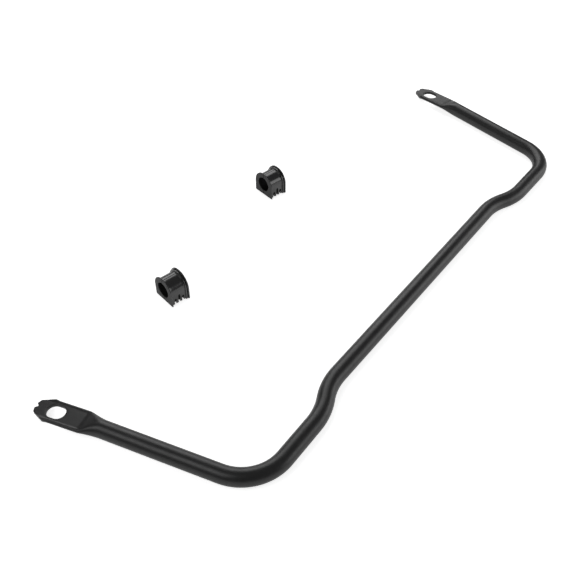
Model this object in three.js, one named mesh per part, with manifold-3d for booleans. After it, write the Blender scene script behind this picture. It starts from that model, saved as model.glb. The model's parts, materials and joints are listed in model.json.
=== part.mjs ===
// Sway bar kit for a light vehicle: one tubular spring-steel bar with flattened, pierced ends,
// and two split rubber D bushings lying beside it on the same flat surface.
// Millimetres, +Z up. The bar lies flat along Y, with its arms towards -X. The bushings stand on
// their flat bases on the arms' side of the bar. The origin is under the middle of the whole kit.
//
// The bar is one steel tube. It is a torsion spring, so it is split here into a middle length and
// two arm lengths that twist against each other about the tube's own axis.

import * as THREE from 'three';
import { mergeVertices } from 'three/addons/utils/BufferGeometryUtils.js';
import Module from 'manifold-3d';

const wasm = await Module();
wasm.setup();

// ---------------------------------------------------------------- driving dimensions
const SPLIT_GAP = 0.3;              // clearance left between pieces that meet face to face

// Bar: centreline corner points, measured from the middle of the bar
const BAR_DIAMETER = 28;
const TUBE_WALL = 3.5;
const MIDDLE_HALF = 273;            // middle straight, to its first corner point
const JOG_RUN = 48.5;               // length along Y of the jog outboard of the middle straight
const JOG_OFFSET = 24;              // how far the jog carries the tube away from the arms' side
const SHOULDER_RUN = 155;           // from the jog to the corner where the arm begins
const SHOULDER_RISE = 3;            // the shoulder still drifts outwards by this much
const JOG_RADIUS = 112;             // bend radii on the centreline
const CORNER_RADIUS = 73.5;
const ARM_LENGTH = 328;             // corner point to the centre of the eye's hole
const ARM_SPLAY = THREE.MathUtils.degToRad(13.6);
const TWIST_SPLIT = 125;            // distance of each split from the middle of the bar

// Flattened end: lengths along the arm from the centre of the eye's hole, + towards the tip
const PLATE_THICKNESS = 2 * TUBE_WALL;
const PLATE_WIDTH = 40;             // the tube's wall pressed flat keeps its length round
const PLATE_DROP = 2.4;             // how far below the tube's axis its middle lies at the hole
const PLATE_PITCH = THREE.MathUtils.degToRad(3.5); // and the plate slopes down towards the tip
const PLATE_BACK = 46;              // flat length behind the hole's centre
const NECK_LENGTH = 36;             // from full flat back to full round
const NECK_POWER = 1.8;             // how sharply the pressing ends in its crease
const HOLE_LENGTH = 31;             // oblong hole, longer along the arm
const HOLE_WIDTH = 24;
const CHAMFER_START = 12.5;         // where the plate's sides begin to narrow towards the tip
const TIP_CORNER = 34;              // outer corners of the tip
const TIP_CORNER_HALF = 11;
const TIP_LENGTH = 35.8;            // the two points beside the notch
const NOTCH_HALF = 3.4;
const NOTCH_FLOOR = 31.5;

// Bushing: bore along its own Y, width along X, standing on its flat base
const BORE_DIAMETER = BAR_DIAMETER;
const BUSHING_HALF_WIDTH = 24.25;   // also the radius of the round top
const BORE_HEIGHT = 24;             // bore axis above the base
const BASE_CORNER_RADIUS = 1.5;
const FACE_LIP = 2;                 // thin lip round the front face
const SADDLE_END = 29.5;            // the saddle, where the clamp grips, ends here
const RIDGE_END = 32;               // inner ridge of the rear flange
const GROOVE_END = 33.3;            // narrow groove between the rear flange's two ridges
const BUSHING_LENGTH = 36;
const SADDLE_INSET = 3.5;
const LIP_INSET = 0;
const RIDGE_INSET = 0.9;
const GROOVE_INSET = 2.2;
const REAR_RIM_GROWTH = 0.75;       // the outer ridge stands this much proud of the front lip
const SLOT_WIDTH = 4.2;             // relief slots low in the saddle's sides, open at the base
const SLOT_DEPTH = 6;
const SLOTS = [
  { centre: 9.5, height: 12, pointed: false },
  { centre: 17.3, height: 16, pointed: true },
  { centre: 24.7, height: 12, pointed: false },
];

// Layout of the kit
const BAR_AXIS_X = 181.8;            // the bar's middle straight, from the kit's origin
const BUSHING_TURN = THREE.MathUtils.degToRad(-12);
const BUSHING_PLACES = {
  left: { x: -148.2, y: -261 },
  right: { x: -194.2, y: 72 },
};

// Facet counts
const TUBE_SIDES = 28;
const HOLLOW_SIDES = 16;
const BEND_STEP = THREE.MathUtils.degToRad(8);
const NECK_STEPS = 9;
const HOLE_SEGMENTS = 12;
const CROWN_STEPS = 12;
const BASE_CORNER_STEPS = 2;
const SLOT_SEGMENTS = 5;

// Working allowances
const OVERCUT = 1;                  // how far a cutter runs past what it cuts
const OVERLAP = 1;                  // how far joined slabs reach into each other
const WELD_DISTANCE = 1e-4;         // vertices closer than this are one vertex

// ---------------------------------------------------------------- materials
const paintedSteel = new THREE.MeshStandardMaterial({
  color: 0x1b1b1c,
  roughness: 0.42,
  metalness: 0.3,
});
const rubber = new THREE.MeshStandardMaterial({
  color: 0x1d1d1f,
  roughness: 0.6,
  metalness: 0,
});

// ---------------------------------------------------------------- solid helpers
function toSolid(geometry) {
  const bare = geometry.clone();
  bare.deleteAttribute('normal');
  bare.deleteAttribute('uv');
  const merged = mergeVertices(bare, WELD_DISTANCE);
  return new wasm.Manifold(new wasm.Mesh({
    numProp: 3,
    vertProperties: new Float32Array(merged.attributes.position.array),
    triVerts: new Uint32Array(merged.index.array),
  }));
}

function toMesh(solid, name, material) {
  const data = solid.getMesh();
  const geometry = new THREE.BufferGeometry();
  geometry.setAttribute('position', new THREE.BufferAttribute(data.vertProperties, 3));
  geometry.setIndex(new THREE.BufferAttribute(data.triVerts, 1));
  geometry.computeVertexNormals();
  const mesh = new THREE.Mesh(geometry, material);
  mesh.name = name;
  return mesh;
}

function circle(diameter) {
  const shape = new THREE.Shape();
  shape.absarc(0, 0, diameter / 2, 0, 2 * Math.PI, false);
  return shape;
}

function arcPoints(centreX, centreY, radius, from, to, steps) {
  const points = [];
  for (let i = 0; i <= steps; i += 1) {
    const angle = from + ((to - from) * i) / steps;
    const x = centreX + radius * Math.cos(angle);
    const y = centreY + radius * Math.sin(angle);
    points.push(new THREE.Vector2(x, y));
  }
  return points;
}

// ---------------------------------------------------------------- the bar's centreline
// Cross-sections along straight runs joined by arcs. Each has a point and a direction.
class Centreline extends THREE.Curve {
  constructor(sections) {
    super();
    this.sections = sections;
  }

  sectionAt(u) {
    return this.sections[Math.round(u * (this.sections.length - 1))];
  }

  getPointAt(u, target = new THREE.Vector3()) {
    return target.copy(this.sectionAt(u).point);
  }

  getTangentAt(u, target = new THREE.Vector3()) {
    return target.copy(this.sectionAt(u).direction);
  }
}

// The sections of one bend, which rounds the corner between two straight runs.
function bendSections(before, corner, after, radius) {
  const inward = new THREE.Vector3().subVectors(corner, before).normalize();
  const outward = new THREE.Vector3().subVectors(after, corner).normalize();
  const turn = inward.angleTo(outward);
  const start = corner.clone().addScaledVector(inward, -radius * Math.tan(turn / 2));
  const axis = new THREE.Vector3().crossVectors(inward, outward).normalize();
  const toCentre = new THREE.Vector3().crossVectors(axis, inward);
  const centre = start.clone().addScaledVector(toCentre, radius);
  const steps = Math.ceil(turn / BEND_STEP);
  const sections = [];
  for (let i = 0; i <= steps; i += 1) {
    const angle = (turn * i) / steps;
    const spoke = toCentre.clone().multiplyScalar(-radius).applyAxisAngle(axis, angle);
    sections.push({
      point: centre.clone().add(spoke),
      direction: inward.clone().applyAxisAngle(axis, angle),
    });
  }
  return sections;
}

// Corner points of one side of the bar: side is +1 for the right (+Y) and -1 for the left.
function cornerPoints(side) {
  const jogY = MIDDLE_HALF + JOG_RUN;
  const cornerX = JOG_OFFSET + SHOULDER_RISE;
  const cornerY = jogY + SHOULDER_RUN;
  const eyeX = cornerX - ARM_LENGTH * Math.cos(ARM_SPLAY);
  const eyeY = cornerY + ARM_LENGTH * Math.sin(ARM_SPLAY);
  return {
    split: new THREE.Vector3(0, side * (TWIST_SPLIT + SPLIT_GAP / 2), 0),
    middleEnd: new THREE.Vector3(0, side * MIDDLE_HALF, 0),
    jogEnd: new THREE.Vector3(JOG_OFFSET, side * jogY, 0),
    corner: new THREE.Vector3(cornerX, side * cornerY, 0),
    eye: new THREE.Vector3(eyeX, side * eyeY, 0),
  };
}

function bentSections(points) {
  const armDirection = new THREE.Vector3().subVectors(points.eye, points.corner).normalize();
  const outwards = new THREE.Vector3(0, Math.sign(points.split.y), 0);
  const start = { point: points.split, direction: outwards };
  const sections = [
    start,
    ...bendSections(points.split, points.middleEnd, points.jogEnd, JOG_RADIUS),
    ...bendSections(points.middleEnd, points.jogEnd, points.corner, JOG_RADIUS),
    ...bendSections(points.jogEnd, points.corner, points.eye, CORNER_RADIUS),
  ];
  return { sections, armDirection };
}

function sectionsAlongArm(eye, armDirection, distances) {
  return distances.map((distance) => ({
    point: eye.clone().addScaledVector(armDirection, distance),
    direction: armDirection,
  }));
}

function sweep(sections, diameter, sides) {
  return new THREE.ExtrudeGeometry(circle(diameter), {
    steps: sections.length - 1,
    curveSegments: sides / 2,
    extrudePath: new Centreline(sections),
  });
}

// ---------------------------------------------------------------- flattened end
// How far the tube is pressed flat along the neck. It eases in, and ends in a crease.
function pressedShare(travelled) {
  return (THREE.MathUtils.smoothstep(travelled, 0, 1) + travelled ** NECK_POWER) / 2;
}

// Where a point at this angle round the tube lies once the tube is pressed by this share: the
// section is a rectangle with fully round ends, whose distance round doesn't change.
function pressedOutline(angle, pressed) {
  const endRadius = THREE.MathUtils.lerp(BAR_DIAMETER / 2, PLATE_THICKNESS / 2, pressed);
  const flatHalf = ((PLATE_WIDTH - PLATE_THICKNESS) / 2) * pressed;
  const across = Math.sign(Math.cos(angle)) || 1;
  const up = Math.sign(Math.sin(angle)) || 1;
  const fromEdge = Math.asin(Math.min(1, Math.abs(Math.sin(angle)))) / (Math.PI / 2);
  const endTravel = (Math.PI / 2) * endRadius;
  const travelled = fromEdge * (endTravel + flatHalf);
  if (travelled < endTravel) {
    const endAngle = travelled / endRadius;
    return {
      lateral: across * (flatHalf + endRadius * Math.cos(endAngle)),
      height: up * endRadius * Math.sin(endAngle),
    };
  }
  return { lateral: across * (flatHalf - (travelled - endTravel)), height: up * endRadius };
}

// Presses the outer end of a swept arm flat, into a plate that slopes down towards the tip.
function flattenEnd(geometry, eye, armDirection) {
  const sideways = new THREE.Vector3(-armDirection.y, armDirection.x, 0);
  const position = geometry.attributes.position;
  const vertex = new THREE.Vector3();
  const roundStart = -(PLATE_BACK + NECK_LENGTH);
  for (let i = 0; i < position.count; i += 1) {
    vertex.fromBufferAttribute(position, i);
    const fromEye = vertex.clone().sub(eye);
    const along = fromEye.dot(armDirection);
    const travelled = THREE.MathUtils.clamp((along - roundStart) / NECK_LENGTH, 0, 1);
    const aside = fromEye.dot(sideways);
    if (travelled > 0) {
      const pressed = pressedShare(travelled);
      const { lateral, height } = pressedOutline(Math.atan2(vertex.z, aside), pressed);
      const middle = (-PLATE_DROP - along * Math.tan(PLATE_PITCH)) * pressed;
      vertex.copy(eye).addScaledVector(armDirection, along).addScaledVector(sideways, lateral);
      position.setXYZ(i, vertex.x, vertex.y, middle + height);
    }
  }
}

// A vertical prism through the plate, drawn in the arm's own directions about the hole's centre.
function prismThroughPlate(shape, eye, armDirection) {
  const depth = 4 * PLATE_THICKNESS;
  const prism = new THREE.ExtrudeGeometry(shape, {
    depth,
    curveSegments: HOLE_SEGMENTS,
    bevelEnabled: false,
  });
  prism.translate(0, 0, -depth / 2);
  prism.rotateZ(Math.atan2(armDirection.y, armDirection.x));
  prism.translate(eye.x, eye.y, 0);
  return toSolid(prism);
}

function oblongHole() {
  const radius = HOLE_WIDTH / 2;
  const straight = (HOLE_LENGTH - HOLE_WIDTH) / 2;
  const shape = new THREE.Shape();
  shape.absarc(straight, 0, radius, -Math.PI / 2, Math.PI / 2, false);
  shape.absarc(-straight, 0, radius, Math.PI / 2, (3 * Math.PI) / 2, false);
  return shape;
}

// What is trimmed from the tip: both chamfered sides and the small notch between the two points.
function tipTrimming() {
  const clear = PLATE_WIDTH;
  const half = PLATE_WIDTH / 2;
  const slope = (half - TIP_CORNER_HALF) / (TIP_CORNER - CHAMFER_START);
  const outsideStart = CHAMFER_START - OVERCUT;
  const outsideHalf = half + slope * OVERCUT;
  const shape = new THREE.Shape();
  shape.moveTo(outsideStart, outsideHalf);
  shape.lineTo(TIP_CORNER, TIP_CORNER_HALF);
  shape.lineTo(TIP_LENGTH, NOTCH_HALF);
  shape.quadraticCurveTo(NOTCH_FLOOR, NOTCH_HALF / 2, NOTCH_FLOOR, 0);
  shape.quadraticCurveTo(NOTCH_FLOOR, -NOTCH_HALF / 2, TIP_LENGTH, -NOTCH_HALF);
  shape.lineTo(TIP_CORNER, -TIP_CORNER_HALF);
  shape.lineTo(outsideStart, -outsideHalf);
  shape.lineTo(outsideStart, -clear);
  shape.lineTo(TIP_LENGTH + clear, -clear);
  shape.lineTo(TIP_LENGTH + clear, clear);
  shape.lineTo(outsideStart, clear);
  shape.closePath();
  return shape;
}

// ---------------------------------------------------------------- bar pieces
function makeArm(side, name) {
  const points = cornerPoints(side);
  const { sections, armDirection } = bentSections(points);
  const neck = [];
  for (let i = 0; i <= NECK_STEPS; i += 1) {
    neck.push(-PLATE_BACK - NECK_LENGTH * (1 - i / NECK_STEPS));
  }
  const overrun = TIP_LENGTH + OVERCUT;
  const outer = sweep(
    [...sections, ...sectionsAlongArm(points.eye, armDirection, [...neck, overrun])],
    BAR_DIAMETER,
    TUBE_SIDES,
  );
  flattenEnd(outer, points.eye, armDirection);

  // The tube is hollow as far as the neck, where the pressing has closed it.
  const openEnd = sections[0].point.clone().setY(side * (TWIST_SPLIT - OVERCUT));
  const hollowStart = { ...sections[0], point: openEnd };
  const hollow = sweep(
    [hollowStart, ...sections.slice(1), ...sectionsAlongArm(points.eye, armDirection, [neck[0]])],
    BAR_DIAMETER - 2 * TUBE_WALL,
    HOLLOW_SIDES,
  );
  const solid = toSolid(outer)
    .subtract(toSolid(hollow))
    .subtract(prismThroughPlate(oblongHole(), points.eye, armDirection))
    .subtract(prismThroughPlate(tipTrimming(), points.eye, armDirection));
  return toMesh(solid, name, paintedSteel);
}

function makeMiddle(name) {
  const inner = BAR_DIAMETER / 2 - TUBE_WALL;
  const outer = BAR_DIAMETER / 2;
  const end = TWIST_SPLIT - SPLIT_GAP / 2;
  const wall = [
    new THREE.Vector2(inner, -end),
    new THREE.Vector2(outer, -end),
    new THREE.Vector2(outer, end),
    new THREE.Vector2(inner, end),
    new THREE.Vector2(inner, -end),
  ];
  const tube = new THREE.LatheGeometry(wall, TUBE_SIDES);
  return toMesh(toSolid(tube), name, paintedSteel);
}

// ---------------------------------------------------------------- bushing pieces
// Half of the D outline, from the split plane outwards, drawn in X and height. side is +1 or -1.
function halfOutline(halfWidth, side) {
  const splitX = SPLIT_GAP / 2;
  const corner = BASE_CORNER_RADIUS;
  const points = [
    new THREE.Vector2(splitX, 0),
    ...arcPoints(halfWidth - corner, corner, corner, -Math.PI / 2, 0, BASE_CORNER_STEPS),
    ...arcPoints(0, BORE_HEIGHT, halfWidth, 0, Math.acos(splitX / halfWidth), CROWN_STEPS),
  ];
  return new THREE.Shape(points.map(({ x, y }) => new THREE.Vector2(side * x, y)));
}

// A slab of an outline drawn in X and height, between two places along Y.
function slabAlongY(shape, from, to) {
  const slab = new THREE.ExtrudeGeometry(shape, { depth: to - from, bevelEnabled: false });
  slab.rotateX(Math.PI / 2);
  slab.translate(0, to, 0);
  return toSolid(slab);
}

function reliefSlot({ centre, height, pointed }, side) {
  const half = SLOT_WIDTH / 2;
  const shape = new THREE.Shape();
  shape.moveTo(-half, -OVERCUT);
  shape.lineTo(half, -OVERCUT);
  shape.lineTo(half, height - half);
  if (pointed) {
    shape.lineTo(0, height + half);
    shape.lineTo(-half, height - half);
  } else {
    shape.absarc(0, height - half, half, 0, Math.PI, false);
  }
  shape.closePath();
  const cutter = new THREE.ExtrudeGeometry(shape, {
    depth: BUSHING_HALF_WIDTH,
    curveSegments: SLOT_SEGMENTS,
    bevelEnabled: false,
  });
  // The outline's Y becomes Z, and the depth runs outwards from the split plane.
  cutter.rotateX(Math.PI / 2);
  cutter.rotateZ((side * Math.PI) / 2);
  const floor = BUSHING_HALF_WIDTH - SADDLE_INSET - SLOT_DEPTH;
  cutter.translate(side * floor, centre, 0);
  return toSolid(cutter);
}

// One half of a bushing: side is +1 for the half towards the bar and -1 for the half away from it.
function bushingHalf(side) {
  const bands = [
    { from: 0, to: FACE_LIP, inset: LIP_INSET },
    { from: FACE_LIP - OVERLAP, to: SADDLE_END + OVERLAP, inset: SADDLE_INSET },
    { from: SADDLE_END, to: RIDGE_END, inset: RIDGE_INSET },
    { from: RIDGE_END - OVERLAP, to: GROOVE_END + OVERLAP, inset: GROOVE_INSET },
    { from: GROOVE_END, to: BUSHING_LENGTH, inset: -REAR_RIM_GROWTH },
  ];
  let solid = null;
  for (const { from, to, inset } of bands) {
    const slab = slabAlongY(halfOutline(BUSHING_HALF_WIDTH - inset, side), from, to);
    solid = solid ? solid.add(slab) : slab;
  }
  for (const slot of SLOTS) {
    solid = solid.subtract(reliefSlot(slot, side));
  }
  const bore = new THREE.CylinderGeometry(
    BORE_DIAMETER / 2,
    BORE_DIAMETER / 2,
    BUSHING_LENGTH + 2 * OVERCUT,
    TUBE_SIDES,
  );
  bore.translate(0, BUSHING_LENGTH / 2, BORE_HEIGHT);
  return solid.subtract(toSolid(bore));
}

function makeBushing(place, innerName, outerName) {
  const inner = toMesh(bushingHalf(1), innerName, rubber);
  const outer = toMesh(bushingHalf(-1), outerName, rubber);
  const bushing = new THREE.Group();
  bushing.add(inner, outer);
  for (const mesh of [inner, outer]) {
    mesh.position.y = -BUSHING_LENGTH / 2;
  }
  bushing.position.set(place.x, place.y, 0);
  bushing.rotation.z = BUSHING_TURN;
  return bushing;
}

// ---------------------------------------------------------------- the kit
const bar = new THREE.Group();
bar.add(
  makeMiddle('bar_middle'),
  makeArm(-1, 'bar_left_arm'),
  makeArm(1, 'bar_right_arm'),
);
bar.position.set(BAR_AXIS_X, 0, BAR_DIAMETER / 2);

const kit = new THREE.Group();
kit.add(
  bar,
  makeBushing(BUSHING_PLACES.left, 'left_bushing_inner_half', 'left_bushing_outer_half'),
  makeBushing(BUSHING_PLACES.right, 'right_bushing_inner_half', 'right_bushing_outer_half'),
);

export default kit;
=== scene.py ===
import json
import math

import bmesh
import bpy
from mathutils import Matrix, Vector


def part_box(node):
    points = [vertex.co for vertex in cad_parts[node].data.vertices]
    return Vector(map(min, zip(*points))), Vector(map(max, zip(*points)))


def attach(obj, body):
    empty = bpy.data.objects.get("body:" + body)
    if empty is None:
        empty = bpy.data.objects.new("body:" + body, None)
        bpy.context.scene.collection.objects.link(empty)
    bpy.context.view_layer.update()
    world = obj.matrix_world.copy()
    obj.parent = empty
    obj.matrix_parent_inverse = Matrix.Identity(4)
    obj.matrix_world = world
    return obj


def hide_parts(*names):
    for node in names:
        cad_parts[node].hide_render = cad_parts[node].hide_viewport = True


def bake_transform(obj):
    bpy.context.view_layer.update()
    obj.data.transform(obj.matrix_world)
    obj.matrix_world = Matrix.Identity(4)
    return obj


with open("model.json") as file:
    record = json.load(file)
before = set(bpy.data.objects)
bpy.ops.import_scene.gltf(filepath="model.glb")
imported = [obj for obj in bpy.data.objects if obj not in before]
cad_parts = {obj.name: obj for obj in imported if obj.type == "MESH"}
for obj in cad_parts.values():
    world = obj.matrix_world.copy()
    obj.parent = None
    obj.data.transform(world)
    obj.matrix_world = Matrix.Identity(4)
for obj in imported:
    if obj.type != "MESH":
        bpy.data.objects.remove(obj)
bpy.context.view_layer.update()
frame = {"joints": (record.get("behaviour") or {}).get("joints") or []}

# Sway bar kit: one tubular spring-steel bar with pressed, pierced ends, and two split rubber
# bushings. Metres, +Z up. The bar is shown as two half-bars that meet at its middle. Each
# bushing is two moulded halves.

MM = 0.001

# ---------------------------------------------------------------- places taken from the frame
joints = {joint["name"]: joint for joint in frame["joints"]}
AXIS_X, _, AXIS_Z = joints["left_arm_twist"]["pos_m"]
middle_low, middle_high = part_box("bar_middle")
BAR_RADIUS = (middle_high.x - middle_low.x) / 2

# ---------------------------------------------------------------- the bar, as the frame has it
MIDDLE_HALF = 273 * MM          # middle straight, to its first corner point
JOG_RUN = 48.5 * MM
JOG_OFFSET = 24 * MM
SHOULDER_RUN = 155 * MM
SHOULDER_RISE = 3 * MM
JOG_RADIUS = 112 * MM
CORNER_RADIUS = 73.5 * MM
ARM_LENGTH = 328 * MM           # corner point to the centre of the eye's hole
ARM_SPLAY = math.radians(13.6)

# The pressed end, in lengths along the arm from the hole's centre and across it
PLATE_HALF_THICKNESS = 3.5 * MM
PLATE_HALF_WIDTH = 20 * MM
PLATE_DROP = 2.4 * MM           # how far below the tube's axis the plate's middle lies at the hole
PLATE_PITCH = math.radians(3.5)  # the plate slopes down towards the tip
PLATE_BACK = 46 * MM
NECK_LENGTH = 36 * MM
NECK_POWER = 1.8                # how sharply the pressing ends in its crease
HOLE_LENGTH = 31 * MM
HOLE_WIDTH = 24 * MM
HOLE_EDGE = 0.9 * MM            # rounding of the hole's rim
FOLD_RADIUS = 3.3 * MM          # the plate's long sides are the tube's own folded wall
CUT_RADIUS = 0.9 * MM           # the tip is sheared, so its edge is nearly square
FOLD_END = 5 * MM               # the fold gives way to the sheared edge between here
CUT_START = 13 * MM             # and here
DETAIL_POWER = 5                # how late in the neck the plate's dished faces begin
DISH = 0.6 * MM                 # the faces are pressed this far below the folded sides
DISH_RUN = 1.8 * MM
TIP_OUTLINE = [                 # distance along the arm, half width, corner radius
    (12.5 * MM, PLATE_HALF_WIDTH, 5 * MM),
    (33 * MM, 11.4 * MM, 3.6 * MM),
    (35.9 * MM, 4.2 * MM, 2.2 * MM),
]
NOTCH_FLOOR = 31.1 * MM
NOTCH_RADIUS = 1.5 * MM

# Mesh resolution
FACE_STEPS = 26                 # across each face of the plate
EDGE_ARC_STEPS = 5
STRAIGHT_STEP = 8 * MM
BEND_STEP = math.radians(2.5)
OUTLINE_STEP = 2.2 * MM
OUTLINE_TURN = math.radians(15)
NECK_STEPS = 18
FACE_ROWS = 6                   # from the plate's dished edge in to the hole's rim
SAME_PLACE = 0.01 * MM          # places closer than this are one place
MERGE_DISTANCE = 0.001 * MM
BAR_SHARP_ANGLE = math.radians(50)

# ---------------------------------------------------------------- the bushings, as the frame has them
BUSHING_PLACES = {
    "left": Vector((-148.2 * MM, -261 * MM, 0)),
    "right": Vector((-194.2 * MM, 72 * MM, 0)),
}
OPENING_AXIS = Vector(joints["left_bushing_open"]["axis"])
BUSHING_TURN = math.atan2(-OPENING_AXIS.y, -OPENING_AXIS.x)
BUSHING_LENGTH = 36 * MM
BORE_RADIUS = BAR_RADIUS
BORE_HEIGHT = 24 * MM
SPLIT_X = 0.15 * MM             # each half stops this far from the split plane
LIP_RADIUS = 24.25 * MM
SADDLE_RADIUS = 20.75 * MM
RIDGE_RADIUS = 23.35 * MM
GROOVE_RADIUS = 22.05 * MM
RIM_RADIUS = 25 * MM
LIP_END = 2 * MM
SADDLE_END = 29.5 * MM
RIDGE_END = 32 * MM
GROOVE_END = 33.3 * MM
FACE_EDGE = 0.9 * MM            # rounding of the end faces' outer edges
SPLIT_EDGE = 0.65 * MM          # rounding beside the split
BASE_CORNER = 1.5 * MM
SLOT_FLOOR = 14.75 * MM         # distance of a relief slot's floor from the split plane
SLOT_HALF_WIDTH = 2.1 * MM
SLOTS = [                       # place along the bushing, height of the straight sides, height of the crown
    (9.5 * MM, 9.9 * MM, 2.1 * MM),
    (17.3 * MM, 13.9 * MM, 4.2 * MM),
    (24.7 * MM, 9.9 * MM, 2.1 * MM),
]

WALL_SLANT = 0.1 * MM           # draft of the walls between the bushing's bands
PROFILE_STEP = 3 * MM
PROFILE_TURN = math.radians(22.5)
FOLD_SHARES = (0, 0.08, 0.25, 0.55)    # points of the rounding beside the split
FOOT_STEPS = 5                  # along the base, from the split to the slots' floor
BASE_STEPS = 4                  # along the base, on to its corner
CORNER_STEPS = 4
SIDE_STEPS = 6                  # up the side, to the height of the slots
SHOULDER_STEPS = 5              # on up to the height of the bore
CROWN_STEPS = 20
SLOT_CROWN_STEPS = 6
RUBBER_SHARP_ANGLE = math.radians(40)

# ---------------------------------------------------------------- camera and studio
CAMERA_PLACE = (0.5932, -0.9276, 0.9639)
CAMERA_AZIMUTH = math.radians(36.69)
CAMERA_ELEVATION = math.radians(44.08)
CAMERA_LENS = 50.17
SKY_GLOW = 0.2                  # even light from all round
SKY_GLOW_SEEN = 0.93            # the backdrop's own shade, which the floor meets at the horizon
FLOOR_GLOW = 0.4                # the floor is lit from inside, as a light table is
FLOOR_GLOW_SEEN = 0.75
FLOOR_REACH = 14.0
SOFT_BOXES = [
    ("back_left_soft_box", (-0.53, 0.54, 0.62), 3.0, (2.4, 2.1), 2.3),
    ("front_soft_box", (-0.20, -0.68, 0.70), 2.6, (1.6, 1.2), 2.1),
    ("right_low_soft_box", (0.78, 0.60, 0.26), 2.6, (2.6, 1.2), 2.0),
]
NOISE_LOW = 0.3                 # the part of a noise's range that is used
NOISE_HIGH = 0.7


# ---------------------------------------------------------------- mesh helpers
def smooth(value):
    """0 below 0, 1 above 1, and an even ease between."""
    value = min(1.0, max(0.0, value))
    return value * value * (3 - 2 * value)


def mix(a, b, share):
    return a + (b - a) * share


class Builder:
    """Collects a mesh's points and faces, then makes the object."""

    def __init__(self):
        self.points = []
        self.faces = []
        self.finishes = []

    def row(self, points):
        """Adds points and returns their numbers."""
        first = len(self.points)
        self.points.extend(points)
        return list(range(first, len(self.points)))

    def face(self, corners, finish=0):
        self.faces.append(corners)
        self.finishes.append(finish)

    def strip(self, a, b, closed=False, finish=0):
        """Quads between two rows of the same length."""
        count = len(a)
        for i in range(count if closed else count - 1):
            j = (i + 1) % count
            self.face((a[i], a[j], b[j], b[i]), finish)

    def make(self, name, materials, sharp_angle):
        mesh = bpy.data.meshes.new(name)
        mesh.from_pydata(self.points, [], self.faces)
        mesh.polygons.foreach_set("material_index", self.finishes)
        for material in materials:
            mesh.materials.append(material)
        work = bmesh.new()
        work.from_mesh(mesh)
        bmesh.ops.remove_doubles(work, verts=work.verts, dist=MERGE_DISTANCE)
        bmesh.ops.recalc_face_normals(work, faces=work.faces)
        work.to_mesh(mesh)
        work.free()
        mesh.polygons.foreach_set("use_smooth", [True] * len(mesh.polygons))
        mesh.set_sharp_from_angle(angle=sharp_angle)
        mesh.update()
        piece = bpy.data.objects.new(name, mesh)
        bpy.context.scene.collection.objects.link(piece)
        return piece


def bend(before, corner, after, radius, turn_step):
    """Round a corner: (point, direction) pairs along the arc, in the plane."""
    inward = (corner - before).normalized()
    outward = (after - corner).normalized()
    cross = inward.x * outward.y - inward.y * outward.x
    turn = math.atan2(cross, inward.dot(outward))
    start = corner - inward * radius * math.tan(abs(turn) / 2)
    to_centre = Vector((-inward.y, inward.x)) * math.copysign(radius, turn)
    centre = start + to_centre
    count = math.ceil(abs(turn) / turn_step)
    pairs = []
    for i in range(count + 1):
        rotation = Matrix.Rotation(turn * i / count, 2)
        pairs.append((centre - rotation @ to_centre, rotation @ inward))
    return pairs


def between(start, end, spacing):
    """(point, direction) pairs strictly between two points of a straight run."""
    run = end - start
    count = max(1, round(run.length / spacing))
    return [(start + run * (i / count), run.normalized()) for i in range(1, count)]


def rounded_path(corners, radii, spacing, turn_step):
    """(point, direction) pairs along straight runs joined by arcs."""
    pairs = [(corners[0], (corners[1] - corners[0]).normalized())]
    for i, radius in enumerate(radii):
        curved = bend(corners[i], corners[i + 1], corners[i + 2], radius, turn_step)
        if (curved[0][0] - pairs[-1][0]).length > SAME_PLACE:
            pairs += between(pairs[-1][0], curved[0][0], spacing)
        else:
            pairs.pop()
        pairs += curved
    last, direction = pairs[-1]
    if (corners[-1] - last).length > SAME_PLACE:
        pairs += between(last, corners[-1], spacing) + [(corners[-1], direction)]
    return pairs


# ---------------------------------------------------------------- the bar
def bar_corners(side):
    """Corner points of one half of the bar, from its middle to the eye, in the bar's plane."""
    jog_y = MIDDLE_HALF + JOG_RUN
    corner_x = AXIS_X + JOG_OFFSET + SHOULDER_RISE
    corner_y = jog_y + SHOULDER_RUN
    eye_x = corner_x - ARM_LENGTH * math.cos(ARM_SPLAY)
    eye_y = corner_y + ARM_LENGTH * math.sin(ARM_SPLAY)
    return [
        Vector((AXIS_X, 0)),
        Vector((AXIS_X, side * MIDDLE_HALF)),
        Vector((AXIS_X + JOG_OFFSET, side * jog_y)),
        Vector((corner_x, side * corner_y)),
        Vector((eye_x, side * eye_y)),
    ]


def edge_profile(radius, half_thickness):
    """A rounded edge seen end on: (inset, height) pairs, from the top to the bottom."""
    upper = []
    for i in range(EDGE_ARC_STEPS + 1):
        angle = math.pi / 2 * i / EDGE_ARC_STEPS
        inset = radius * (1 - math.sin(angle))
        upper.append((inset, half_thickness - radius * (1 - math.cos(angle))))
    return upper + [(inset, -height) for inset, height in reversed(upper)]


def plate_height(along, across, height):
    """A height on the sloping plate, whose faces are pressed below its folded sides."""
    depth = DISH * smooth((PLATE_HALF_WIDTH - FOLD_RADIUS - abs(across)) / DISH_RUN)
    middle = -PLATE_DROP - along * math.tan(PLATE_PITCH)
    return middle + height * (1 - depth / PLATE_HALF_THICKNESS)


def face_positions():
    """Places across the plate's face, closer together beside its folded sides."""
    half = PLATE_HALF_WIDTH - FOLD_RADIUS
    return [half * math.sin(math.pi / 2 * (1 - 2 * i / FACE_STEPS)) for i in range(FACE_STEPS + 1)]


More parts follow.
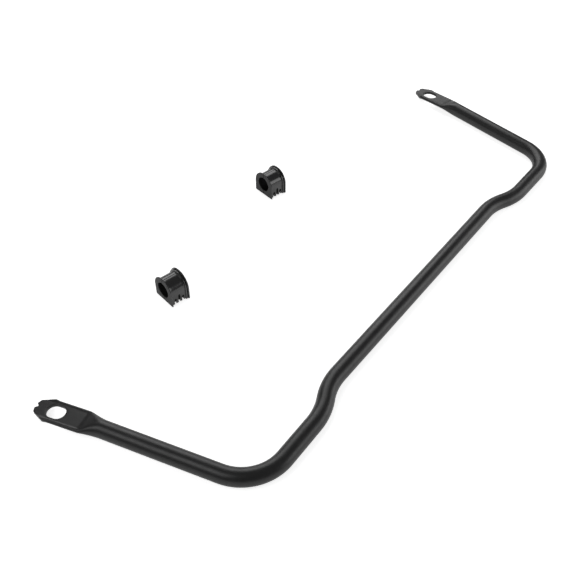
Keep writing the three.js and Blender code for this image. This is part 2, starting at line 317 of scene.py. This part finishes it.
def plate_ring(along):
    """The plate's cross-section as (across, height) points: top, one edge, bottom, other edge."""
    places = face_positions()
    edge = edge_profile(FOLD_RADIUS, PLATE_HALF_THICKNESS)[1:-1]
    top = [(v, PLATE_HALF_THICKNESS) for v in places]
    far = [(inset - PLATE_HALF_WIDTH, w) for inset, w in edge]
    bottom = [(v, -PLATE_HALF_THICKNESS) for v in reversed(places)]
    near = [(PLATE_HALF_WIDTH - inset, w) for inset, w in reversed(edge)]
    return [(v, plate_height(along, v, w)) for v, w in top + far + bottom + near]


def ring_shares():
    """How far round the plate's section each of its points is, in turns from the +across edge."""
    ring = plate_ring(0)
    steps = [math.dist(ring[i], ring[i - 1]) for i in range(len(ring))]
    whole = sum(steps)
    travelled = whole / 4 - sum(steps[1:FACE_STEPS + 1]) / 2
    shares = [travelled / whole]
    for step in steps[1:]:
        travelled += step
        shares.append(travelled / whole)
    return shares


def obround(share, pressed):
    """A point of the tube's section once it is pressed by this share: a rectangle with round ends."""
    radius = mix(BAR_RADIUS, PLATE_HALF_THICKNESS, pressed)
    flat_half = (PLATE_HALF_WIDTH - PLATE_HALF_THICKNESS) * pressed
    from_edge = abs((share + 0.25) % 0.5 - 0.25) / 0.25
    across = 1 if (share + 0.25) % 1 < 0.5 else -1
    up = 1 if share % 1 < 0.5 else -1
    end_travel = math.pi / 2 * radius
    travelled = from_edge * (end_travel + flat_half)
    if travelled < end_travel:
        angle = travelled / radius
        return across * (flat_half + radius * math.cos(angle)), up * radius * math.sin(angle)
    return across * (flat_half - (travelled - end_travel)), up * radius


def pressed_share(travelled):
    """How far the tube is pressed flat along the neck. It eases in, and ends in a crease."""
    return (smooth(travelled) + travelled ** NECK_POWER) / 2


def plate_outline():
    """The plate's edge as (point, direction), from the far side's back end round the tip."""
    tip = [Vector((u, v)) for u, v, _ in TIP_OUTLINE]
    radii = [radius for _, _, radius in TIP_OUTLINE]
    back = Vector((-PLATE_BACK, PLATE_HALF_WIDTH))
    one_side = [back, *tip]
    mirrored = [Vector((p.x, -p.y)) for p in one_side]
    corners = mirrored + [Vector((NOTCH_FLOOR, 0))] + one_side[::-1]
    all_radii = radii + [NOTCH_RADIUS] + radii[::-1]
    return rounded_path(corners, all_radii, OUTLINE_STEP, OUTLINE_TURN)


def hole_point(toward):
    """The point of the oblong hole's edge in the given direction, and the way out of the hole."""
    radius = HOLE_WIDTH / 2
    straight = (HOLE_LENGTH - HOLE_WIDTH) / 2
    along, across = toward.normalized()
    if abs(along) * radius <= straight * abs(across):
        reach = radius / abs(across)
        return Vector((along * reach, math.copysign(radius, across))), Vector((0, math.copysign(1, across)))
    centre = Vector((math.copysign(straight, along), 0))
    forward = along * centre.x
    reach = forward + math.sqrt(forward ** 2 - straight ** 2 + radius ** 2)
    point = Vector((along, across)) * reach
    return point, (point - centre).normalized()


def face_rows(contour):
    """Rows of plan points across the plate's face, from its outer edge to the hole's rim."""
    rows = [[], [], []]
    inner = []
    for point, inward, _, radius in contour:
        share = radius / FOLD_RADIUS
        for k, inset in enumerate((0, DISH_RUN / 2, DISH_RUN)):
            rows[k].append(point + inward * inset * share)
        hole, away = hole_point(point)
        inner.append(hole + away * HOLE_EDGE)
    dished = rows[-1]
    for k in range(1, FACE_ROWS + 1):
        rows.append([mix(a, b, k / FACE_ROWS) for a, b in zip(dished, inner)])
    return rows


def face_contour(outline):
    """The flat face's boundary as (point, way in, way out, edge radius): the back end, then the outline."""
    contour = []
    places = face_positions()
    for v in places[1:-1]:
        inward = Vector((1, -v / places[0]))
        contour.append((Vector((-PLATE_BACK, v)), inward, -inward, FOLD_RADIUS))
    for point, direction in outline:
        outward = Vector((direction.y, -direction.x))
        radius = mix(FOLD_RADIUS, CUT_RADIUS, smooth((point.x - FOLD_END) / (CUT_START - FOLD_END)))
        inward = -outward
        if point.x < -PLATE_BACK + SAME_PLACE:
            inward = Vector((1, inward.y))
        contour.append((point - outward * radius, inward, outward, radius))
    return contour


def on_plate(place, point, height):
    """A plan point of the plate, lifted to a height on its sloping, dished section."""
    return place(point.x, point.y, plate_height(point.x, point.y, height))


def add_hole_wall(builder, place, contour, top_rim, bottom_rim):
    """Joins the two faces' inner rows through the hole."""
    wall = [top_rim]
    for inset, height in edge_profile(HOLE_EDGE, PLATE_HALF_THICKNESS)[1:-1]:
        row = []
        for point, _, _, _ in contour:
            hole, away = hole_point(point)
            row.append(on_plate(place, hole + away * inset, height))
        wall.append(builder.row(row))
    wall.append(bottom_rim)
    for a, b in zip(wall, wall[1:]):
        builder.strip(a, b, closed=True)


def add_outer_edge(builder, place, contour, top, bottom):
    """Joins the two faces' outer rows, everywhere but at the back end. Returns the end columns."""
    back_points = FACE_STEPS - 1
    columns = []
    for i, (point, _, outward, radius) in enumerate(contour[back_points:], start=back_points):
        column = [top[i]]
        for inset, height in edge_profile(radius, PLATE_HALF_THICKNESS)[1:-1]:
            edge_point = point + outward * (radius - inset)
            column += builder.row([on_plate(place, edge_point, height)])
        columns.append(column + [bottom[i]])
    for a, b in zip(columns, columns[1:]):
        builder.strip(a, b)
    return columns[0], columns[-1]


def add_plate(builder, place):
    """Builds the pierced plate and returns the ring of points at its back end."""
    contour = face_contour(plate_outline())
    plan = face_rows(contour)
    faces = {}
    for sign in (1, -1):
        height = sign * PLATE_HALF_THICKNESS
        rows = [builder.row([on_plate(place, point, height) for point in row]) for row in plan]
        for a, b in zip(rows, rows[1:]):
            builder.strip(a, b, closed=True)
        faces[sign] = rows
    add_hole_wall(builder, place, contour, faces[1][-1], faces[-1][-1])
    top, bottom = faces[1][0], faces[-1][0]
    first, last = add_outer_edge(builder, place, contour, top, bottom)
    back_top = [top[-1]] + top[:FACE_STEPS]
    back_bottom = [bottom[-1]] + bottom[:FACE_STEPS]
    return back_top + first[1:-1] + back_bottom[::-1] + last[-2:0:-1]


def make_half_bar(side, name, coat):
    """One half of the bar, from middle to tip. side is +1 for the right and -1 for the left."""
    corners = bar_corners(side)
    eye = corners[-1]
    radii = [JOG_RADIUS, JOG_RADIUS, CORNER_RADIUS]
    arm = (corners[-1] - corners[-2]).normalized()
    neck_start = eye - arm * (PLATE_BACK + NECK_LENGTH)
    path = rounded_path(corners[:-1] + [neck_start], radii, STRAIGHT_STEP, BEND_STEP)
    shares = ring_shares()
    builder = Builder()

    def ring_at(point, direction, pressed=0, along=0):
        across = Vector((-direction.y, direction.x))
        middle = (-PLATE_DROP - along * math.tan(PLATE_PITCH)) * pressed
        detail = pressed ** DETAIL_POWER
        points = []
        for share, (v1, w1) in zip(shares, plate_ring(along)):
            v0, w0 = obround(share, pressed)
            at = point + across * mix(v0, v1, detail)
            points.append((at.x, at.y, AXIS_Z + mix(middle + w0, w1, detail)))
        return builder.row(points)

    def place(along, across, height):
        at = eye + arm * along + Vector((-arm.y, arm.x)) * across
        return (at.x, at.y, AXIS_Z + height)

    rings = [ring_at(point, direction) for point, direction in path]
    for i in range(1, NECK_STEPS):
        travelled = i / NECK_STEPS
        along = NECK_LENGTH * (travelled - 1) - PLATE_BACK
        rings.append(ring_at(eye + arm * along, arm, pressed_share(travelled), along))
    rings.append(add_plate(builder, place))
    for a, b in zip(rings, rings[1:]):
        builder.strip(a, b, closed=True)
    builder.face(tuple(rings[0]))
    return builder.make(name, [coat], BAR_SHARP_ANGLE)


# ---------------------------------------------------------------- the bushings
def quarter_round(distance, radius):
    """How far a rounded edge is set back at this distance from the face that it starts on."""
    if distance >= radius:
        return 0.0
    return radius - math.sqrt(radius ** 2 - (radius - distance) ** 2)


def bushing_profile():
    """(place along the bushing, radius of the outline) pairs, from the front face to the rear."""
    corners = [                 # place, radius of the outline, rounding of the corner
        (0, LIP_RADIUS - FACE_EDGE, 0),
        (0, LIP_RADIUS, FACE_EDGE),
        (LIP_END, LIP_RADIUS, 0.6 * MM),
        (LIP_END + 2 * WALL_SLANT, SADDLE_RADIUS, 1.3 * MM),
        (SADDLE_END - 2 * WALL_SLANT, SADDLE_RADIUS, 1.0 * MM),
        (SADDLE_END, RIDGE_RADIUS, 0.5 * MM),
        (RIDGE_END, RIDGE_RADIUS, 0.5 * MM),
        (RIDGE_END + WALL_SLANT, GROOVE_RADIUS, 0.3 * MM),
        (GROOVE_END - WALL_SLANT, GROOVE_RADIUS, 0.3 * MM),
        (GROOVE_END, RIM_RADIUS, 0.6 * MM),
        (BUSHING_LENGTH, RIM_RADIUS, FACE_EDGE),
        (BUSHING_LENGTH, RIM_RADIUS - FACE_EDGE, 0),
    ]
    places = [Vector((along, radius)) for along, radius, _ in corners]
    rounding = [turn for _, _, turn in corners[1:-1]]
    path = rounded_path(places, rounding, PROFILE_STEP, PROFILE_TURN)
    return [(point.x, point.y) for point, _ in path]


def slot_stations():
    """(place along the bushing, slot height or None, height of the nearest slot) through the slots."""
    stations = []
    for centre, straight, crown in SLOTS:
        start, end = centre - SLOT_HALF_WIDTH, centre + SLOT_HALF_WIDTH
        stations.append((start, None, straight))
        for i in range(SLOT_CROWN_STEPS + 1):
            angle = math.pi * i / SLOT_CROWN_STEPS
            place = centre - SLOT_HALF_WIDTH * math.cos(angle)
            stations.append((place, straight + crown * math.sin(angle), straight))
        stations.append((end, None, straight))
    return stations


def bushing_stations():
    """(place, outline radius, slot height or None, height of the nearest slot), front to rear."""
    first, last = SLOTS[0], SLOTS[-1]
    slots = slot_stations()
    profile = bushing_profile()
    before = [(y, r, None, first[1]) for y, r in profile if y < slots[0][0]]
    after = [(y, r, None, last[1]) for y, r in profile if y > slots[-1][0]]
    return before + [(y, SADDLE_RADIUS, cut, near) for y, cut, near in slots] + after


def spread(start, end, steps):
    """Points from start towards end, without end."""
    return [mix(start, end, i / steps) for i in range(steps)]


def outline_points(place, radius, cut, near_height):
    """One half's outer outline at a station, from the split's foot round to the split's top."""
    edge_distance = min(place, BUSHING_LENGTH - place)
    split = SPLIT_X + quarter_round(edge_distance, SPLIT_EDGE)
    base = quarter_round(edge_distance, FACE_EDGE)
    side_foot = base + BASE_CORNER
    fold = [split + SPLIT_EDGE * share for share in FOLD_SHARES]
    points = [Vector((x, base + quarter_round(x - split, SPLIT_EDGE))) for x in fold]
    floor_foot = Vector((SLOT_FLOOR, base))
    points += spread(Vector((split + SPLIT_EDGE, base)), floor_foot, FOOT_STEPS)
    if cut is None:
        ledge = Vector((radius, near_height))
        points += spread(floor_foot, Vector((radius - BASE_CORNER, base)), BASE_STEPS)
        centre = Vector((radius - BASE_CORNER, side_foot))
        for i in range(CORNER_STEPS):
            angle = math.pi / 2 * (i / CORNER_STEPS - 1)
            points.append(centre + Vector((math.cos(angle), math.sin(angle))) * BASE_CORNER)
        points += spread(Vector((radius, side_foot)), ledge, SIDE_STEPS)
    else:
        ledge = Vector((radius, cut))
        slot_corner = Vector((SLOT_FLOOR, cut))
        points += spread(floor_foot, slot_corner, BASE_STEPS + CORNER_STEPS)
        points += spread(slot_corner, ledge, SIDE_STEPS)
    shoulder = Vector((radius, BORE_HEIGHT))
    points += spread(ledge, shoulder, SHOULDER_STEPS)
    crown_start = math.acos((split + SPLIT_EDGE) / radius)
    for i in range(CROWN_STEPS + 1):
        angle = crown_start * i / CROWN_STEPS
        points.append(Vector((radius * math.cos(angle), BORE_HEIGHT + radius * math.sin(angle))))
    for x in reversed(fold):
        height = BORE_HEIGHT + math.sqrt(radius ** 2 - x ** 2)
        points.append(Vector((x, height - quarter_round(x - split, SPLIT_EDGE))))
    return points


def bore_points(place, angles):
    """The bore's half circle at a station, opened out a little at both ends."""
    edge_distance = min(place, BUSHING_LENGTH - place)
    radius = BORE_RADIUS + quarter_round(edge_distance, SPLIT_EDGE)
    split = SPLIT_X + quarter_round(edge_distance, SPLIT_EDGE)
    points = []
    for angle in angles:
        x = max(split, radius * math.cos(angle))
        points.append(Vector((x, BORE_HEIGHT + radius * math.sin(angle))))
    return points


def make_bushing_half(side, name, rubbers):
    """One half of a bushing in its own frame. side is +1 towards the bar and -1 away from it."""
    stations = bushing_stations()
    reference = outline_points(BUSHING_LENGTH / 2, SADDLE_RADIUS, None, SLOTS[1][1])
    angles = [math.atan2(p.y - BORE_HEIGHT, p.x) for p in reference]
    angles[0], angles[-1] = -math.pi / 2, math.pi / 2
    builder = Builder()
    outer_rows, inner_rows = [], []
    for place, radius, cut, near_height in stations:
        along = place - BUSHING_LENGTH / 2
        outer = outline_points(place, radius, cut, near_height)
        inner = bore_points(place, angles)
        outer_rows.append(builder.row([(side * p.x, along, p.y) for p in outer]))
        inner_rows.append(builder.row([(side * p.x, along, p.y) for p in inner]))
    # The bore and the mating faces take the third, darker and duller rubber: painted shade inside the bore
    # and along the split.
    face_finish, saddle_finish, painted_shade_finish = 0, 1, 2
    rows = zip(outer_rows, outer_rows[1:], inner_rows, inner_rows[1:])
    for outer_a, outer_b, inner_a, inner_b in rows:
        builder.strip(outer_a, outer_b, finish=saddle_finish)
        builder.strip(inner_a, inner_b, finish=painted_shade_finish)
        for end in (0, -1):
            corners = (outer_a[end], outer_b[end], inner_b[end], inner_a[end])
            builder.face(corners, painted_shade_finish)
    for outer, inner in ((outer_rows[0], inner_rows[0]), (outer_rows[-1], inner_rows[-1])):
        builder.strip(outer, inner, finish=face_finish)
    return builder.make(name, rubbers, RUBBER_SHARP_ANGLE)


def place_bushing(which, rubbers):
    """Makes both halves of one bushing, stands them at their place and ties them to the frame."""
    for side, half in ((1, "inner"), (-1, "outer")):
        piece = make_bushing_half(side, f"{which}_bushing_{half}_rubber", rubbers)
        turn = Matrix.Rotation(BUSHING_TURN, 4, "Z")
        piece.matrix_world = Matrix.Translation(BUSHING_PLACES[which]) @ turn
        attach(piece, f"{which}_bushing_{half}")
        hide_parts(f"{which}_bushing_{half}_half")


# ---------------------------------------------------------------- materials
def new_material(name):
    material = bpy.data.materials.new(name)
    material.use_nodes = True
    tree = material.node_tree
    return material, tree, tree.nodes["Principled BSDF"]


def noise(tree, scale, detail):
    """Noise in object space, so that it keeps its size and rides with the piece."""
    place = tree.nodes.new("ShaderNodeTexCoord")
    texture = tree.nodes.new("ShaderNodeTexNoise")
    texture.inputs["Scale"].default_value = scale
    texture.inputs["Detail"].default_value = detail
    tree.links.new(place.outputs["Object"], texture.inputs["Vector"])
    return texture.outputs["Fac"]


def ranged(tree, value, low, high):
    """Maps a noise value to a range."""
    node = tree.nodes.new("ShaderNodeMapRange")
    node.inputs["From Min"].default_value = NOISE_LOW
    node.inputs["From Max"].default_value = NOISE_HIGH
    node.inputs["To Min"].default_value = low
    node.inputs["To Max"].default_value = high
    tree.links.new(value, node.inputs["Value"])
    return node.outputs["Result"]


def coloured(tree, value, dark, light):
    """A colour between two shades, by a noise value."""
    ramp = tree.nodes.new("ShaderNodeValToRGB")
    ramp.color_ramp.elements[0].position = NOISE_LOW
    ramp.color_ramp.elements[0].color = (*dark, 1)
    ramp.color_ramp.elements[1].position = NOISE_HIGH
    ramp.color_ramp.elements[1].color = (*light, 1)
    tree.links.new(value, ramp.inputs["Fac"])
    return ramp.outputs["Color"]


def bumped(tree, shader, height, distance, strength):
    node = tree.nodes.new("ShaderNodeBump")
    node.inputs["Distance"].default_value = distance
    node.inputs["Strength"].default_value = strength
    tree.links.new(height, node.inputs["Height"])
    tree.links.new(node.outputs["Normal"], shader.inputs["Normal"])


def make_coat():
    """Satin black powder coat: an even black with a fine orange peel and soft changes of gloss."""
    material, tree, shader = new_material("satin_powder_coat")
    patches = noise(tree, scale=45, detail=3)
    colour = coloured(tree, patches, dark=(0.006, 0.006, 0.0063), light=(0.010, 0.010, 0.0103))
    tree.links.new(colour, shader.inputs["Base Color"])
    gloss = ranged(tree, noise(tree, scale=160, detail=4), low=0.33, high=0.41)
    tree.links.new(gloss, shader.inputs["Roughness"])
    peel = noise(tree, scale=900, detail=2)
    bumped(tree, shader, peel, distance=0.03 * MM, strength=0.35)
    return material


def make_rubber(name, dark, light, gloss_low, gloss_high, grain, shine):
    """Moulded black rubber. grain is the depth of its fine surface texture, shine its reflectance."""
    material, tree, shader = new_material(name)
    shader.inputs["Specular IOR Level"].default_value = shine
    colour = coloured(tree, noise(tree, scale=120, detail=4), dark, light)
    tree.links.new(colour, shader.inputs["Base Color"])
    gloss = ranged(tree, noise(tree, scale=300, detail=3), gloss_low, gloss_high)
    tree.links.new(gloss, shader.inputs["Roughness"])
    bumped(tree, shader, noise(tree, scale=1400, detail=3), distance=grain, strength=0.4)
    return material


def seen_or_lit(tree, lit, seen):
    path = tree.nodes.new("ShaderNodeLightPath")
    strength = tree.nodes.new("ShaderNodeMapRange")
    strength.inputs["To Min"].default_value = lit
    strength.inputs["To Max"].default_value = seen
    tree.links.new(path.outputs["Is Camera Ray"], strength.inputs["Value"])
    return strength.outputs["Result"]


def make_floor_material():
    material, tree, shader = new_material("pale_floor")
    shader.inputs["Roughness"].default_value = 0.9
    shader.inputs["Specular IOR Level"].default_value = 0.1
    shader.inputs["Emission Color"].default_value = (1, 1, 1, 1)
    glow = seen_or_lit(tree, FLOOR_GLOW, FLOOR_GLOW_SEEN)
    tree.links.new(glow, shader.inputs["Emission Strength"])
    patches = noise(tree, scale=1.5, detail=2)
    colour = coloured(tree, patches, dark=(0.87, 0.87, 0.87), light=(0.89, 0.89, 0.89))
    tree.links.new(colour, shader.inputs["Base Color"])
    return material


# ---------------------------------------------------------------- studio
def make_camera():
    data = bpy.data.cameras.new("camera")
    data.sensor_width = 36
    data.lens = CAMERA_LENS
    camera = bpy.data.objects.new("camera", data)
    camera.location = CAMERA_PLACE
    camera.rotation_euler = (math.pi / 2 - CAMERA_ELEVATION, 0, CAMERA_AZIMUTH)
    bpy.context.scene.collection.objects.link(camera)
    bpy.context.scene.camera = camera


def soft_light(name, direction, distance, size, radiance):
    data = bpy.data.lights.new(name, "AREA")
    data.shape = "RECTANGLE"
    data.size, data.size_y = size
    data.energy = radiance * math.pi * size[0] * size[1]
    light = bpy.data.objects.new(name, data)
    away = Vector(direction).normalized()
    light.location = away * distance
    light.rotation_euler = away.to_track_quat("Z", "Y").to_euler()
    light.visible_camera = False
    bpy.context.scene.collection.objects.link(light)


def make_studio():
    world = bpy.data.worlds.new("studio")
    world.use_nodes = True
    tree = world.node_tree
    background = tree.nodes["Background"]
    background.inputs["Color"].default_value = (1, 1, 1, 1)
    tree.links.new(seen_or_lit(tree, SKY_GLOW, SKY_GLOW_SEEN), background.inputs["Strength"])
    bpy.context.scene.world = world
    bpy.context.scene.view_settings.view_transform = "Standard"

    for name, direction, distance, size, radiance in SOFT_BOXES:
        soft_light(name, direction, distance, size, radiance)

    reach = FLOOR_REACH
    builder = Builder()
    builder.row([(-reach, -reach, 0), (reach, -reach, 0), (reach, reach, 0), (-reach, reach, 0)])
    builder.face((0, 1, 2, 3))
    builder.make("floor", [make_floor_material()], math.pi)


make_camera()
make_studio()
powder_coat = make_coat()
rubber_finishes = [             # end faces, outer surfaces, then the bore and the mating faces; the last is a darker, duller rubber that paints shade into the bore and along the split
    make_rubber("rubber_face", dark=(0.011, 0.011, 0.0117), light=(0.016, 0.016, 0.0168),
                gloss_low=0.5, gloss_high=0.6, grain=0.05 * MM, shine=0.45),
    make_rubber("rubber_saddle", dark=(0.004, 0.004, 0.0045), light=(0.007, 0.007, 0.0076),
                gloss_low=0.15, gloss_high=0.23, grain=0.012 * MM, shine=0.8),
    # Darker and duller than the other rubbers: painted shade in the bore and between the halves.
    make_rubber("rubber_inner_painted_shade", dark=(0.002, 0.002, 0.002), light=(0.004, 0.004, 0.0042),
                gloss_low=0.6, gloss_high=0.7, grain=0.03 * MM, shine=0.15),
]

for side, which in ((-1, "left"), (1, "right")):
    half_bar = make_half_bar(side, f"sway_bar_{which}_half", powder_coat)
    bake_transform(half_bar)
    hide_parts(f"bar_{which}_arm", "bar_middle")
    place_bushing(which, rubber_finishes)
